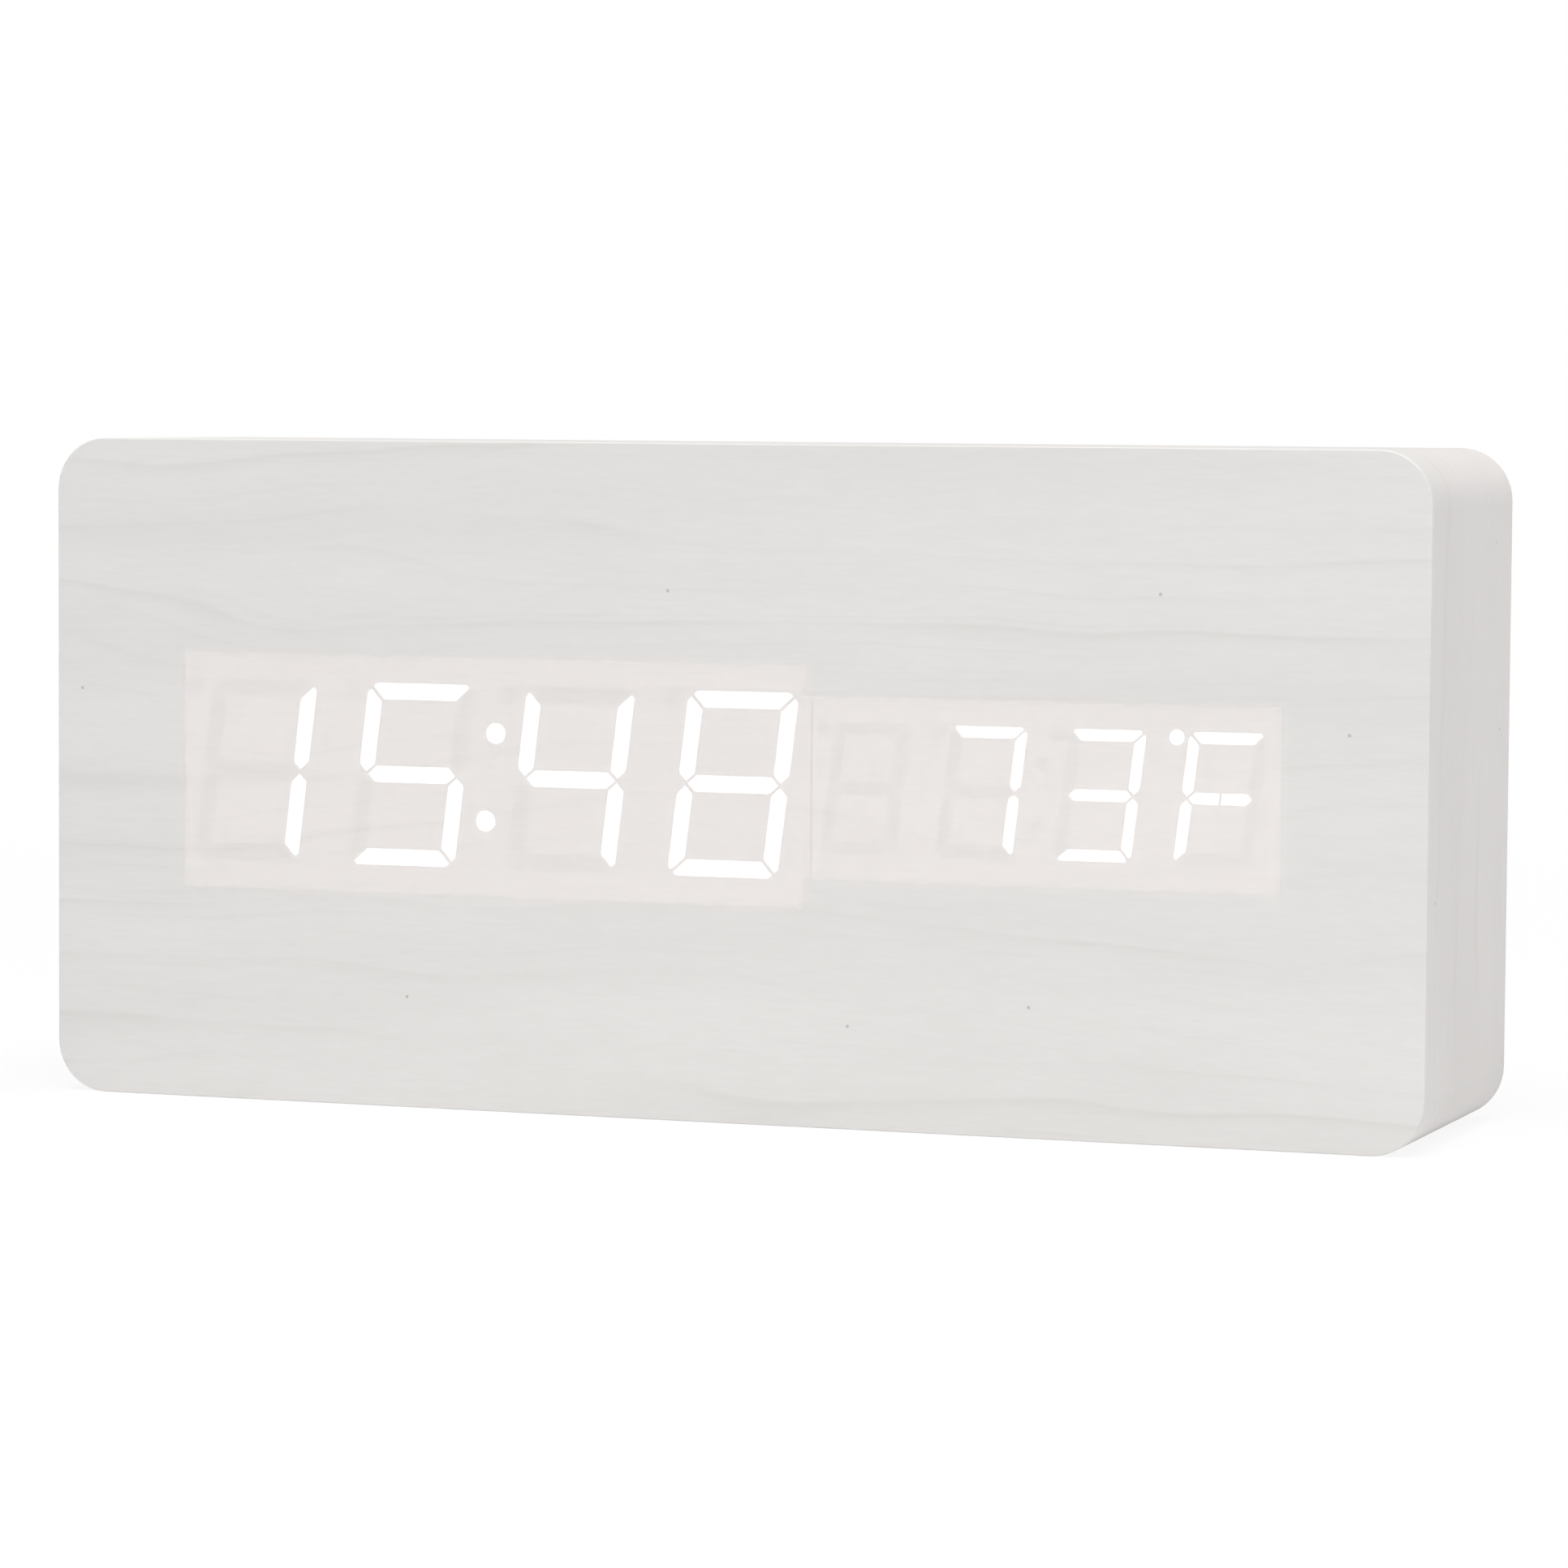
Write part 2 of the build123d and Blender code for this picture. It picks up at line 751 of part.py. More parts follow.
# Battery door: lifts at the fingernail notch and turns about two pins at its rounded end
with BuildPart() as battery_door:
    with BuildSketch(Plane.XY.offset(middle_z)):
        with Locations((hinge_x, hinge_y)):
            Circle(door_thickness / 2)
        with Locations(((hinge_x + door_right) / 2, hinge_y)):
            Rectangle(door_right - hinge_x, door_thickness)
    extrude(amount=door_height / 2, both=True)
    fillet(battery_door.edges().filter_by(Axis.Y).group_by(Axis.X)[-1], door_radius)
    chamfer(battery_door.faces().sort_by(Axis.Y)[-1].edges().sort_by(Axis.X)[1:], door_edge)
    with BuildSketch(Plane.XY.offset(middle_z)):
        with Locations((hinge_x, hinge_y)):
            Circle(hinge_pin_radius)
    extrude(amount=door_height / 2 + hinge_pin_length, both=True)
    with BuildSketch(upright(panel_y)):
        with Locations((door_right - grip_inset - grip_rib_pitch, middle_z)):
            with GridLocations(grip_rib_pitch, 0, grip_ribs, 1):
                SlotOverall(grip_rib_length, grip_rib_width, rotation=90)
    extrude(amount=-grip_rib_height)
hand_out(battery_door.part, "battery_door")

# Cells: three in series, the middle one turned round
with BuildPart() as aaa_cells:
    for i, z in enumerate(cell_zs):
        nub_right = i % 2 == 0
        base_x = bay_left + spring_reach if nub_right else bay_right - spring_reach
        run = 1 if nub_right else -1
        with BuildSketch(Plane.YZ.offset(base_x)):
            with Locations((cell_y, z)):
                Circle(cell_diameter / 2)
        extrude(amount=run * (cell_length - cell_nub_length))
        with BuildSketch(Plane.YZ.offset(base_x)):
            with Locations((cell_y, z)):
                Circle(cell_nub_radius)
        extrude(amount=run * cell_length)
hand_out(aaa_cells.part, "aaa_cells")


def cell_contact(end_x, inward, plate_zs, bump_zs, leaf_zs, tab=False):
    """A stamped plate on the bay's end wall, with a bump for each nub and a sprung leaf for each base."""
    plate_z = sum(plate_zs) / len(plate_zs)
    plate_span = max(plate_zs) - min(plate_zs) + contact_width
    face_x = end_x + inward * contact_plate
    with BuildPart() as contact:
        with BuildSketch(Plane.YZ.offset(end_x)):
            with Locations((cell_y, plate_z)):
                Rectangle(contact_height, plate_span)
        extrude(amount=inward * contact_plate)
        if tab:
            tab_end_y = bay_under_y - tab_length
            with BuildSketch(Plane.YZ.offset(end_x)):
                with Locations(((cell_y + tab_end_y) / 2, plate_z)):
                    Rectangle(cell_y - tab_end_y, tab_width)
            extrude(amount=inward * contact_plate)
        for z in bump_zs:
            with BuildSketch(Plane.YZ.offset(face_x)):
                with Locations((cell_y, z)):
                    Circle(contact_bump_radius)
            extrude(amount=inward * contact_bump, taper=20)
        for z in leaf_zs:
            with BuildSketch(Plane.XY.offset(z - leaf_width / 2)):
                with BuildLine():
                    foot = contact_height / 2
                    crest = (face_x + inward * leaf_rise, cell_y)
                    inside = (face_x + inward * (leaf_rise - contact_plate), cell_y)
                    ThreePointArc((face_x, cell_y - foot), crest, (face_x, cell_y + foot))
                    Line((face_x, cell_y + foot), (face_x, cell_y + foot - contact_plate))
                    ThreePointArc(
                        (face_x, cell_y + foot - contact_plate),
                        inside,
                        (face_x, cell_y - foot + contact_plate),
                    )
                    Line((face_x, cell_y - foot + contact_plate), (face_x, cell_y - foot))
                make_face()
            extrude(amount=leaf_width)
    return contact.part


hand_out(cell_contact(bay_left, 1, cell_zs[:1], [], cell_zs[:1], True), "negative_terminal")
hand_out(cell_contact(bay_right, -1, cell_zs[-1:], cell_zs[-1:], [], True), "positive_terminal")
right_link = cell_contact(bay_right, -1, cell_zs[:2], cell_zs[:1], cell_zs[1:2])
left_link = cell_contact(bay_left, 1, cell_zs[1:], cell_zs[1:2], cell_zs[2:])
hand_out(Compound(children=[right_link, left_link]), "cell_links")


def battery_lead(start_x, z):
    """An insulated wire that lies under the bay and turns up to the key board."""
    end_x = key_left + lead_inset
    with BuildPart() as lead:
        with BuildLine() as route:
            FilletPolyline(
                (start_x, lead_y, z), (end_x, lead_y, z), (end_x, key_inner_y, z), radius=lead_bend
            )
        with BuildSketch(Plane(route.line @ 0, z_dir=route.line % 0)):
            Circle(lead_radius)
        sweep()
    return lead.part


hand_out(battery_lead(bay_left + contact_plate, cell_zs[0]), "negative_lead")
hand_out(battery_lead(bay_right, cell_zs[-1]), "positive_lead")

# Key board
with BuildPart() as key_board:
    with BuildSketch(upright(key_y)):
        with Locations((key_x, middle_z)):
            RectangleRounded(key_board_width, key_board_height, board_clearance)
        with Locations(*key_screw_places):
            Circle(key_screw_radius + screw_clearance, mode=Mode.SUBTRACT)
    extrude(amount=board_thickness)
hand_out(key_board.part, "key_board")

hand_out(
    pan_screws(
        key_screw_places,
        key_inner_y,
        -1,
        key_screw_radius,
        key_screw_length,
        board_screw_head_radius,
        board_screw_head,
    ),
    "key_board_screws",
)

with BuildPart() as switch_bodies:
    with BuildSketch(upright(key_y)):
        with Locations(*button_places.values()):
            Rectangle(switch_size, switch_size)
    extrude(amount=-switch_thickness)
    with BuildSketch(upright(switch_top_y)):
        with Locations(*button_places.values()):
            Circle(plunger_radius + plunger_clearance)
    extrude(amount=plunger_well, mode=Mode.SUBTRACT)
hand_out(switch_bodies.part, "switch_bodies")


def button_cap(place, mark):
    """A round cap with a flange behind the panel. mark is the outline sunk into its face."""
    with BuildPart() as cap:
        with BuildSketch(upright(plunger_top_y)):
            with Locations(place):
                Circle(button_flange_radius)
        extrude(amount=-button_flange)
        with BuildSketch(upright(plunger_top_y)):
            with Locations(place):
                Circle(button_radius)
        extrude(amount=plunger_top_y - panel_y - button_proud)
        fillet(cap.faces().sort_by(Axis.Y)[-1].edges(), button_edge)
        with BuildSketch(upright(panel_y + button_proud)):
            with Locations(place):
                mark()
        extrude(amount=button_mark_depth, mode=Mode.SUBTRACT)
    return cap.part


def switch_plunger(place):
    with BuildPart() as plunger:
        with BuildSketch(upright(plunger_top_y)):
            with Locations(place):
                Circle(plunger_radius)
        extrude(amount=plunger_proud + plunger_seat)
    return plunger.part


button_marks = {
    "mode": lambda: Circle(button_mark / 3),
    "up": lambda: RegularPolygon(button_mark / 2, 3, rotation=90),
    "down": lambda: RegularPolygon(button_mark / 2, 3, rotation=-90),
}
for name, place in button_places.items():
    hand_out(button_cap(place, button_marks[name]), f"{name}_button")
    hand_out(switch_plunger(place), f"{name}_switch_plunger")

# Power socket: a round barrel jack standing on the key board, open to the rear
jack_bore_y = panel_y - jack_bore_depth
with BuildPart() as power_jack:
    with BuildSketch(upright(key_y)):
        with Locations(jack_place):
            Rectangle(jack_body, jack_body)
    extrude(amount=key_y - panel_inner_y + jack_gap)
    with BuildSketch(upright(panel_inner_y - jack_gap)):
        with Locations(jack_place):
            Circle(jack_nose_radius)
    extrude(amount=-panel_thickness - jack_gap)
    with BuildSketch(upright(panel_y)):
        with Locations(jack_place):
            Circle(jack_bore_radius)
    extrude(amount=jack_bore_depth, mode=Mode.SUBTRACT)
hand_out(power_jack.part, "power_jack")

with BuildPart() as power_jack_pin:
    with BuildSketch(upright(jack_bore_y)):
        with Locations(jack_place):
            Circle(jack_pin_radius)
    extrude(amount=jack_pin_recess - jack_bore_depth)
    fillet(power_jack_pin.faces().sort_by(Axis.Y)[-1].edges(), jack_pin_radius / 2)
hand_out(power_jack_pin.part, "power_jack_pin")

# Buzzer, microphone and temperature sensor on the key board
with BuildPart() as buzzer:
    with BuildSketch(upright(key_y)):
        with Locations(buzzer_place):
            Circle(buzzer_radius)
    extrude(amount=-buzzer_thickness)
    with BuildSketch(upright(key_y + buzzer_thickness)):
        with Locations(buzzer_place):
            Circle(buzzer_hole_radius)
    extrude(amount=buzzer_thickness / 2, mode=Mode.SUBTRACT)
hand_out(buzzer.part, "buzzer")

with BuildPart() as microphone:
    with BuildSketch(upright(key_y)):
        with Locations(microphone_place):
            Circle(microphone_radius)
    extrude(amount=-microphone_thickness)
hand_out(microphone.part, "microphone")

with BuildPart() as thermistor:
    with BuildSketch(upright(key_y)):
        with Locations(sensor_place):
            with GridLocations(sensor_lead_spacing, 0, 2, 1):
                Circle(sensor_lead_radius)
    extrude(amount=-sensor_rise)
    with Locations((sensor_place[0], key_y + sensor_rise, sensor_place[1])):
        Sphere(sensor_bead_radius)
hand_out(thermistor.part, "thermistor")
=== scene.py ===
from math import cos, pi, radians, sin

import bmesh
import bpy
from mathutils import Matrix, Vector


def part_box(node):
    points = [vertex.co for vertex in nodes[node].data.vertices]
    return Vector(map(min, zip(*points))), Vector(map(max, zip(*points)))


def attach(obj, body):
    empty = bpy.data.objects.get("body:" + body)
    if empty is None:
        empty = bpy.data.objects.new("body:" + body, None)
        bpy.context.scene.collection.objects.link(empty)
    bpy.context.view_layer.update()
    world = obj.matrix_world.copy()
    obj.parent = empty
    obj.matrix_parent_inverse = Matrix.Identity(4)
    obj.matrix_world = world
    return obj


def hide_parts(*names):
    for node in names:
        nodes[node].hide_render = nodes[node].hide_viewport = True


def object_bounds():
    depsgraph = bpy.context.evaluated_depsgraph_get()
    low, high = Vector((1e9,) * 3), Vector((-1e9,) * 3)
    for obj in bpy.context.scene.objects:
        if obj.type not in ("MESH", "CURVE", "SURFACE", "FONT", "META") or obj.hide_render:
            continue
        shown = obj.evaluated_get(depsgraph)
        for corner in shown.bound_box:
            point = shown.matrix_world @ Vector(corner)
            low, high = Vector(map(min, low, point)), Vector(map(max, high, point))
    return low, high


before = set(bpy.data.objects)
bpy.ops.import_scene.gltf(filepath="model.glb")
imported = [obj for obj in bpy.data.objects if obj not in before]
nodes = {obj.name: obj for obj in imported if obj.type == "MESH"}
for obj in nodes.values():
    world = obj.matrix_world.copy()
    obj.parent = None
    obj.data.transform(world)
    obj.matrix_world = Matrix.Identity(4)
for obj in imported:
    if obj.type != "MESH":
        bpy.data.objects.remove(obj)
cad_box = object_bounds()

# Looks of a digital LED desk clock: white wood-grain veneer over a solid block, with white LED
# digits that shine through the front sheet. Metres, front towards -Y.

MM = 0.001

# What the displays read: the lit bars of each digit, a to g clockwise from the top, g the middle
LIT_BARS = {
    "time_digit_1": "bc",
    "time_digit_2": "acdfg",
    "time_digit_3": "bcfg",
    "time_digit_4": "abcdefg",
    "temp_digit_1": "",
    "temp_digit_2": "abc",
    "temp_digit_3": "abcdg",
    "temp_digit_4": "aefg",
}
LIT_DOTS = {"time_colon": "all", "time_dots": "none", "temp_colon": "none", "temp_dots": "last"}
SLANT = 0.12

# Grain: the distance between growth lines, how many lines they sway by, the size of a patch with one
# speck at most, the lot above which a patch has its speck, and how dark a speck is
RING_MM = 8.0
SWAY_RINGS = 2.6
SPECK_PATCH_MM = 17.0
SPECK_LOT = 0.68
SPECK_SHARE = 0.55

# How clear the thin front sheet is over a display block, at what depths inside the block's edge it
# starts to clear and is clear, first as seen and then for the light that falls on it, which spreads
# in the wood, and how far the clear parts of the two blocks overlap
CLEAR_SHARE = 0.4
CLEAR_EDGE_MM = (0.15, 0.95)
LIGHT_EDGE_MM = (-1.0, -0.5)
CLEAR_OVERLAP_MM = 2.0

# Copper tracks on the boards, wires in the ribbon and the pale band of a cell's label
TRACK_PITCH_MM = 1.27
RIBBON_WIRES = 8
LABEL_BAND_MM = 11.0

# The photograph's camera: where it stands and how it is turned, from the object's outline
CAMERA_PLACE = Vector((0.20525, -0.57346, 0.07365))
CAMERA_YAW = radians(19.591)
CAMERA_PITCH = radians(3.726)
CAMERA_ROLL = radians(0.402)
CAMERA_LENS = 132.47

# Studio light: the world's strength, how far from the clock its shadow fades to white, and each
# softbox's place, width and power
WORLD_LIGHT = 0.06
SHADOW_FADE = (0.12, 0.5)
SOFTBOXES = {
    "overhead_softbox": ((0.0, -0.53, 1.18), 0.9, 13.4),
    "top_right_softbox": ((0.45, 0.12, 1.2), 0.9, 6.3),
    "front_softbox": ((0.5, -1.0, 0.15), 0.9, 2.15),
    "rear_right_softbox": ((0.8, 1.0, 0.25), 0.9, 3.1),
    "rear_left_softbox": ((-0.9, 0.85, 0.5), 0.9, 2.2),
}


def srgb(hex_code):
    """An sRGB hex colour as linear RGBA."""
    parts = [int(hex_code[i : i + 2], 16) / 255 for i in (1, 3, 5)]
    return tuple(c / 12.92 if c <= 0.04045 else ((c + 0.055) / 1.055) ** 2.4 for c in parts) + (1.0,)


def add(tree, kind, inputs=None, **settings):
    """Adds a shader node. settings are its options, inputs its values or the sockets to link.

    A node among the inputs stands for its first output that is in use."""
    made = tree.nodes.new("ShaderNode" + kind)
    for name, value in settings.items():
        setattr(made, name, value)
    for name, value in (inputs or {}).items():
        if isinstance(value, bpy.types.Node):
            value = next(socket for socket in value.outputs if socket.enabled)
        if isinstance(value, bpy.types.NodeSocket):
            tree.links.new(value, made.inputs[name])
        else:
            made.inputs[name].default_value = value
    return made


def new_material(name):
    """An empty material and its node tree."""
    material = bpy.data.materials.new(name)
    material.use_nodes = True
    material.node_tree.nodes.clear()
    return material, material.node_tree


def dress(material, *names):
    """Gives CAD nodes one material all over."""
    for name in names:
        slots = nodes[name].data.materials
        slots.clear()
        slots.append(material)


def dress_faces(name, material, chosen):
    """Gives a second material to the faces of a CAD node for which chosen is true."""
    mesh = nodes[name].data
    mesh.materials.append(material)
    for polygon in mesh.polygons:
        if chosen(polygon):
            polygon.material_index = 1


def stretched(tree, *lengths_mm):
    """Object coordinates measured in pattern lengths, given in millimetres along X, Y and Z."""
    place = add(tree, "TexCoord").outputs["Object"]
    scale = tuple(1 / (length * MM) for length in lengths_mm)
    return add(tree, "Mapping", {"Vector": place, "Scale": scale})


def place_axes(tree):
    """Object coordinates along X, Y and Z."""
    place = add(tree, "TexCoord").outputs["Object"]
    return add(tree, "SeparateXYZ", {"Vector": place}).outputs


def growth_lines(tree, rings, count, shift, patch_lengths):
    """Lines of late wood, count to a ring: each soft on one side and sharp on the other.

    The lines are worn away in patches."""
    ring = add(tree, "Math", {0: rings, 1: count, 2: shift}, operation="MULTIPLY_ADD")
    ring = add(tree, "Math", {0: ring}, operation="FRACT")
    soft_side = add(tree, "MapRange", {"Value": ring, "From Min": 0.6, "From Max": 0.935})
    soft_side = add(tree, "Math", {0: soft_side, 1: 3.0}, operation="POWER")
    sharp_side = add(tree, "MapRange", {"Value": ring, "From Min": 0.985, "From Max": 0.935})
    patches = add(tree, "TexNoise", {"Vector": stretched(tree, *patch_lengths), "Scale": 1.0})
    worn = add(tree, "MapRange", {"Value": patches, "From Min": 0.4, "From Max": 0.66})
    line = add(tree, "Math", {0: soft_side, 1: sharp_side}, operation="MULTIPLY")
    return add(tree, "Math", {0: line, 1: worn}, operation="MULTIPLY")


def wood_specks(tree, along, across):
    """Pinhead specks in some patches of the sheet, at most one in each."""
    place = add(tree, "CombineXYZ", {"X": along, "Y": across})
    patches = {"Vector": place, "Scale": 1 / (SPECK_PATCH_MM * MM)}
    spots = add(tree, "TexVoronoi", patches, voronoi_dimensions="2D")
    lot = add(tree, "SeparateXYZ", {"Vector": spots.outputs["Color"]})
    chosen = add(tree, "Math", {0: lot, 1: SPECK_LOT}, operation="GREATER_THAN")
    near = {"Value": spots.outputs["Distance"], "From Min": 0.013, "From Max": 0.006}
    speck = add(tree, "MapRange", near)
    return add(tree, "Math", {0: speck, 1: chosen}, operation="MULTIPLY")


def wood_grain(tree, across, tones, line_share):
    """Colour and depth of white-washed grain whose lines are stacked along the axis across.

    Growth lines wave slowly along the grain. Between them lie broad pale bands, fine fibres and a
    few specks. tones are the pale wood, its bands and its lines."""

    def lengths(grain_mm, cross_mm):
        return [cross_mm if axis == across else grain_mm for axis in "XYZ"]

    axes = place_axes(tree)
    sway_place = stretched(tree, *lengths(70.0, 24.0))
    sway = add(tree, "TexNoise", {"Vector": sway_place, "Scale": 1.0, "Roughness": 0.4})
    rise = add(tree, "Math", {0: axes[across], 1: 1 / (RING_MM * MM)}, operation="MULTIPLY")
    rings = add(tree, "Math", {0: sway, 1: SWAY_RINGS, 2: rise}, operation="MULTIPLY_ADD")
    main_lines = growth_lines(tree, rings, 1.0, 0.0, lengths(45.0, 9.0))
    fine_lines = growth_lines(tree, rings, 2.3, 0.4, lengths(30.0, 9.0))
    lines = add(tree, "Math", {0: fine_lines, 1: 0.45, 2: main_lines}, operation="MULTIPLY_ADD")

    fibre_place = stretched(tree, *lengths(3.2, 0.4))
    fibre_noise = {"Vector": fibre_place, "Scale": 1.0, "Detail": 3.0, "Roughness": 0.6}
    fibres = add(tree, "TexNoise", fibre_noise)
    fibre_range = {"Value": fibres, "From Min": 0.3, "From Max": 0.75, "To Max": 0.14}
    fibres = add(tree, "MapRange", fibre_range)
    depth = add(tree, "Math", {0: lines, 1: line_share, 2: fibres}, operation="MULTIPLY_ADD")

    band_place = stretched(tree, *lengths(55.0, 8.0))
    bands = add(tree, "TexNoise", {"Vector": band_place, "Scale": 1.0, "Detail": 3.0})
    bands = add(tree, "MapRange", {"Value": bands, "From Min": 0.35, "From Max": 0.7})
    banded = add(tree, "Mix", {0: bands, 6: srgb(tones[0]), 7: srgb(tones[1])}, data_type="RGBA")
    grained = add(tree, "Mix", {0: depth, 6: banded, 7: srgb(tones[2])}, data_type="RGBA")

    along = axes["X"]
    if across == "Y":
        along = add(tree, "Math", {0: axes["X"], 1: axes["Z"]}, operation="SUBTRACT")
    specks = wood_specks(tree, along, axes[across])
    specks = add(tree, "Math", {0: specks, 1: SPECK_SHARE}, operation="MULTIPLY")
    colour = add(tree, "Mix", {0: specks, 6: grained, 7: srgb("#8F8A86")}, data_type="RGBA")
    return colour, depth


def display_windows():
    """Corners of the two display blocks. The right one runs into the left one, where they meet."""
    time_low, time_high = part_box("time_display_housing")
    temp_low, temp_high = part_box("temp_display_housing")
    joined_low = Vector((time_high.x - CLEAR_OVERLAP_MM * MM, temp_low.y, temp_low.z))
    return [(time_low, time_high), (joined_low, temp_high)]


def window_mask(tree, windows, edge_mm):
    """1 over a display block and 0 outside it. edge_mm are the depths inside its edge at which the
    rise starts and ends."""
    axes = place_axes(tree)
    masks = []
    for low, high in windows:
        sides = []
        for axis, index in (("X", 0), ("Z", 2)):
            middle = (low[index] + high[index]) / 2
            half = (high[index] - low[index]) / 2
            start, full = (half - depth * MM for depth in edge_mm)
            off = add(tree, "Math", {0: axes[axis], 1: middle}, operation="SUBTRACT")
            off = add(tree, "Math", {0: off}, operation="ABSOLUTE")
            rise = {"Value": off, "From Min": start, "From Max": full}
            sides.append(add(tree, "MapRange", rise, interpolation_type="SMOOTHSTEP"))
        masks.append(add(tree, "Math", {0: sides[0], 1: sides[1]}, operation="MULTIPLY"))
    return add(tree, "Math", {0: masks[0], 1: masks[1]}, operation="MAXIMUM")


def white_veneer(name, across, tones, line_share, windows=()):
    """White-stained wood veneer, paper thin: satin lacquer over shallow pores.

    Over the display blocks the wood is thin enough for the digits to shine through."""
    material, tree = new_material(name)
    colour, depth = wood_grain(tree, across, tones, line_share)
    pores = add(tree, "Bump", {"Height": depth, "Strength": 0.2, "Distance": 0.02 * MM}, invert=True)
    finish = {"Base Color": colour, "Roughness": 0.55, "IOR": 1.45, "Normal": pores}
    if windows:
        seen = window_mask(tree, windows, CLEAR_EDGE_MM)
        lit = window_mask(tree, windows, LIGHT_EDGE_MM)
        falling = add(tree, "LightPath").outputs["Is Shadow Ray"]
        window = add(tree, "Mix", {0: falling, 2: seen, 3: lit})
        clear = add(tree, "Math", {0: window, 1: CLEAR_SHARE}, operation="MULTIPLY")
        behind = add(tree, "NewGeometry").outputs["Backfacing"]
        clear = add(tree, "Math", {0: clear, 1: behind}, operation="MAXIMUM")
        finish["Alpha"] = add(tree, "Math", {0: 1.0, 1: clear}, operation="SUBTRACT")
    shader = add(tree, "BsdfPrincipled", finish)
    add(tree, "OutputMaterial", {"Surface": shader})
    return material


def clear_glue():
    """The sheet's inner face where the glue film wets it: light passes straight through."""
    material, tree = new_material("clear_glue_film")
    add(tree, "OutputMaterial", {"Surface": add(tree, "BsdfTransparent")})
    return material


def led_plastic(name, colour, shade, glow, strength):
    """White plastic of an LED display: matt and faintly cloudy, with an emission that is real light in
    the lit bars and painted glow on the block and the unlit bars.
    """
    material, tree = new_material(name)
    cloud = add(tree, "TexNoise", {"Vector": stretched(tree, 3.0, 3.0, 3.0), "Scale": 1.0})
    tone = add(tree, "Mix", {0: cloud, 6: srgb(colour), 7: srgb(shade)}, data_type="RGBA")
    finish = {"Base Color": tone, "Roughness": 0.6}
    # Emission: the lit bars' own light; on the block and the unlit bars it is painted glow, no light
    # source
    finish |= {"Emission Color": srgb(glow), "Emission Strength": strength}
    shader = add(tree, "BsdfPrincipled", finish)
    add(tree, "OutputMaterial", {"Surface": shader})
    return material


def gritty(name, colour, shade, roughness, grit_mm, bump):
    """A dull solid with a fine even grit that softens its shine and a faint cloud in its colour.

    Moulded plastic has it from the mould's eroded face, fibreboard and felt from their fibres, and
    epoxy and paint from their filler."""
    material, tree = new_material(name)
    grit_place = stretched(tree, grit_mm, grit_mm, grit_mm)
    grit_noise = {"Vector": grit_place, "Scale": 1.0, "Detail": 3.0, "Roughness": 0.6}
    grit = add(tree, "TexNoise", grit_noise)
    relief = add(tree, "Bump", {"Height": grit, "Strength": bump, "Distance": 0.05 * MM})
    dull = {"Value": grit, "From Min": 0.2, "From Max": 0.8}
    dull |= {"To Min": roughness - 0.07, "To Max": roughness + 0.07}
    dull = add(tree, "MapRange", dull)
    cloud = add(tree, "TexNoise", {"Vector": stretched(tree, 18.0, 18.0, 18.0), "Scale": 1.0})
    tone = add(tree, "Mix", {0: cloud, 6: srgb(colour), 7: srgb(shade)}, data_type="RGBA")
    finish = {"Base Color": tone, "Roughness": dull, "IOR": 1.53, "Normal": relief}
    shader = add(tree, "BsdfPrincipled", finish)
    add(tree, "OutputMaterial", {"Surface": shader})
    return material


def plated_metal(name, colour, shade, roughness, streak_mm):
    """Bright plating over stamped or turned metal, with fine drawing marks."""
    material, tree = new_material(name)
    streaks = stretched(tree, streak_mm, streak_mm * 6, streak_mm)
    marks = add(tree, "TexNoise", {"Vector": streaks, "Scale": 1.0, "Detail": 4.0})
    tone = add(tree, "Mix", {0: marks, 6: srgb(colour), 7: srgb(shade)}, data_type="RGBA")
    dull = {"Value": marks, "From Min": 0.2, "From Max": 0.8}
    dull |= {"To Min": roughness - 0.08, "To Max": roughness + 0.1}
    dull = add(tree, "MapRange", dull)
    finish = {"Base Color": tone, "Metallic": 1.0, "Roughness": dull}
    shader = add(tree, "BsdfPrincipled", finish)
    add(tree, "OutputMaterial", {"Surface": shader})
    return material


def solder_mask():
    """Green solder mask on glass epoxy: copper tracks show through as raised, paler lines."""
    material, tree = new_material("green_solder_mask")
    axes = place_axes(tree)
    tracks = []
    for axis in "XZ":
        count = add(tree, "Math", {0: axes[axis], 1: 1 / (TRACK_PITCH_MM * MM)}, operation="MULTIPLY")
        off = add(tree, "Math", {0: count, 1: 0.5}, operation="PINGPONG")
        tracks.append(add(tree, "Math", {0: off, 1: 0.12}, operation="LESS_THAN"))
    patches = add(tree, "TexNoise", {"Vector": stretched(tree, 9.0, 9.0, 9.0), "Scale": 1.0})
    turn = add(tree, "Math", {0: patches, 1: 0.5}, operation="GREATER_THAN")
    track = add(tree, "Mix", {0: turn, 2: tracks[0], 3: tracks[1]})
    gaps = add(tree, "TexNoise", {"Vector": stretched(tree, 5.0, 5.0, 5.0), "Scale": 1.0})
    routed = add(tree, "Math", {0: gaps, 1: 0.48}, operation="GREATER_THAN")
    track = add(tree, "Math", {0: track, 1: routed}, operation="MULTIPLY")
    tone = add(tree, "Mix", {0: track, 6: srgb("#1B5235"), 7: srgb("#2F7650")}, data_type="RGBA")
    relief = add(tree, "Bump", {"Height": track, "Strength": 0.3, "Distance": 0.035 * MM})
    finish = {"Base Color": tone, "Roughness": 0.35, "IOR": 1.53, "Normal": relief}
    shader = add(tree, "BsdfPrincipled", finish)
    add(tree, "OutputMaterial", {"Surface": shader})
    return material


